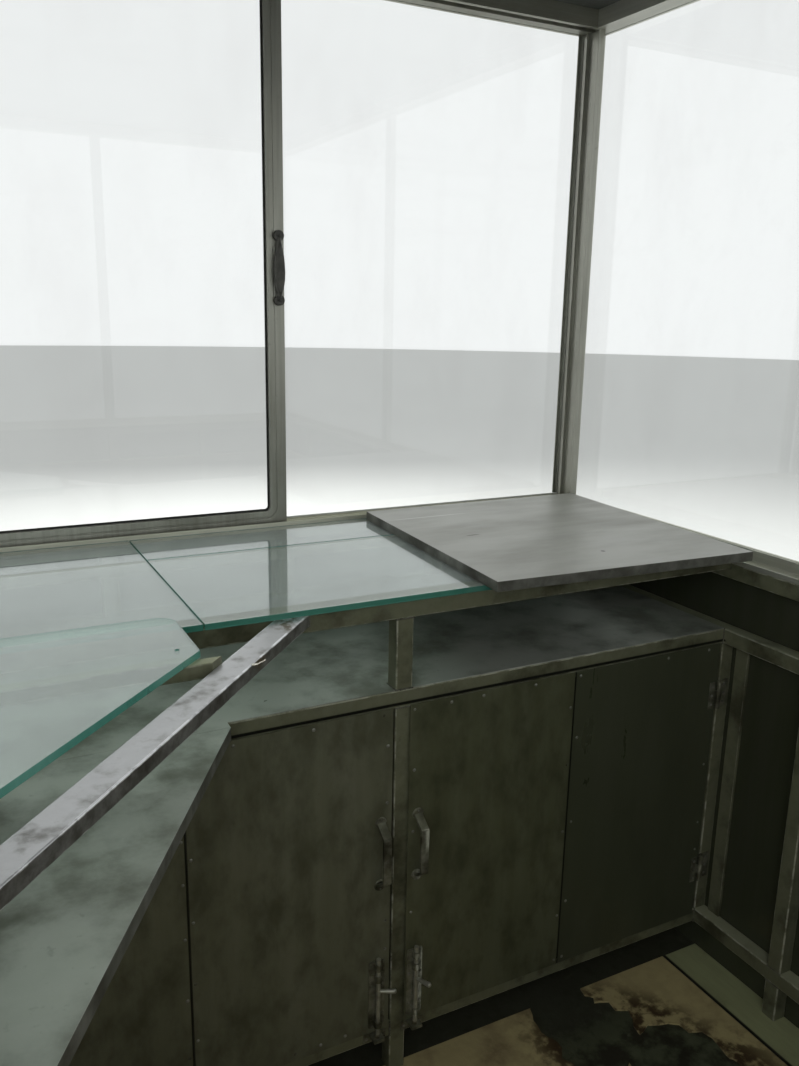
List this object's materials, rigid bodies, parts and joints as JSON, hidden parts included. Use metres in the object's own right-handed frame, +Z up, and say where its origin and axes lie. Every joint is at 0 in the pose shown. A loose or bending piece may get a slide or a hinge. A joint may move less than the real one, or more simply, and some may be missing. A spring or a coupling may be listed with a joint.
{
  "type": "street kiosk cabin",
  "caption": "Small glazed street kiosk: tube frame cabin with a sliding serving window, a counter with hinged cabinet doors and a glass serving shelf.",
  "frame": {"origin": "on the ground under the middle of the cabin's plan", "axes": "+Z up, +Y towards the serving window, +X to the right of someone who stands inside and faces that window"},
  "size_m": [2.034, 2.67, 2.637],
  "materials": {
    "window_alloy": "dull anodised aluminium profile",
    "base_steel": "dark painted steel tube",
    "floor_ply": "dark green painted board",
    "floor_sheet": "worn beige floor sheet, torn in places",
    "floor_strip": "grey green strip, scuffed",
    "frame_steel": "dull bare tube with grime",
    "panel_steel": "dark glossy sheet panel",
    "window_glass": "clear glass with light dust",
    "dark_fitting": "dark worn catch",
    "ceiling_board": "dark sheet ceiling",
    "roof_steel": "plain sheet roof",
    "counter_steel": "scratched sheet",
    "bright_alloy": "bright drawn tube with fine lines",
    "shelf_glass": "thick glass with green edges",
    "tray_steel": "streaked dull sheet",
    "door_steel": "dull grey green sheet, riveted",
    "door_fitting": "worn plated fittings"
  },
  "bodies": {
    "cabin": {"corner_posts": "window_alloy", "base_runners": "base_steel", "base_joists": "base_steel", "floor_board": "floor_ply", "floor_sheet": "floor_sheet", "floor_strip": "floor_strip", "side_rails": "frame_steel", "end_rails": "frame_steel", "wall_studs": "frame_steel", "front_cladding": "panel_steel", "right_cladding": "panel_steel", "left_cladding": "panel_steel", "back_cladding": "panel_steel", "front_sill": "window_alloy", "front_head": "window_alloy", "side_sills": "window_alloy", "side_heads": "window_alloy", "back_frame": "window_alloy", "window_uprights": "window_alloy", "door_frame": "window_alloy", "front_sash": "window_alloy", "sash_glass": "window_glass", "fixed_glass": "window_glass", "sash_lock": "dark_fitting", "side_glass": "window_glass", "back_glass": "window_glass", "roof_beams": "base_steel", "ceiling": "ceiling_board", "roof_panel": "roof_steel", "counter_rails": "frame_steel", "counter_supports": "frame_steel", "counter_top": "counter_steel", "wing_top": "counter_steel", "shelf_frame": "frame_steel", "diagonal_tube": "bright_alloy", "shelf_glass": "shelf_glass", "corner_glass": "shelf_glass", "tray_board": "tray_steel", "frame_fittings": "door_fitting"},
    "left_leaf": {"left_door": "door_steel", "left_fittings": "door_fitting"},
    "right_leaf": {"right_door": "door_steel", "right_fittings": "door_fitting"},
    "left_bolt": {"left_bolt_rod": "door_fitting"},
    "right_bolt": {"right_bolt_rod": "door_fitting"}
  },
  "joints": [
    {"name": "left_door_hinge", "type": "hinge", "parent": "cabin", "child": "left_leaf", "pos_m": [-0.878, 0.527, 0.5], "axis": [0, 0, -1], "range_deg": [0, 85]},
    {"name": "right_door_hinge", "type": "hinge", "parent": "cabin", "child": "right_leaf", "pos_m": [0.878, 0.527, 0.5], "axis": [0, 0, 1], "range_deg": [0, 85]},
    {"name": "left_bolt_slide", "type": "slide", "parent": "left_leaf", "child": "left_bolt", "axis": [0, 0, -1], "range_m": [0, 0.025]},
    {"name": "right_bolt_slide", "type": "slide", "parent": "right_leaf", "child": "right_bolt", "axis": [0, 0, -1], "range_m": [0, 0.025]}
  ]
}
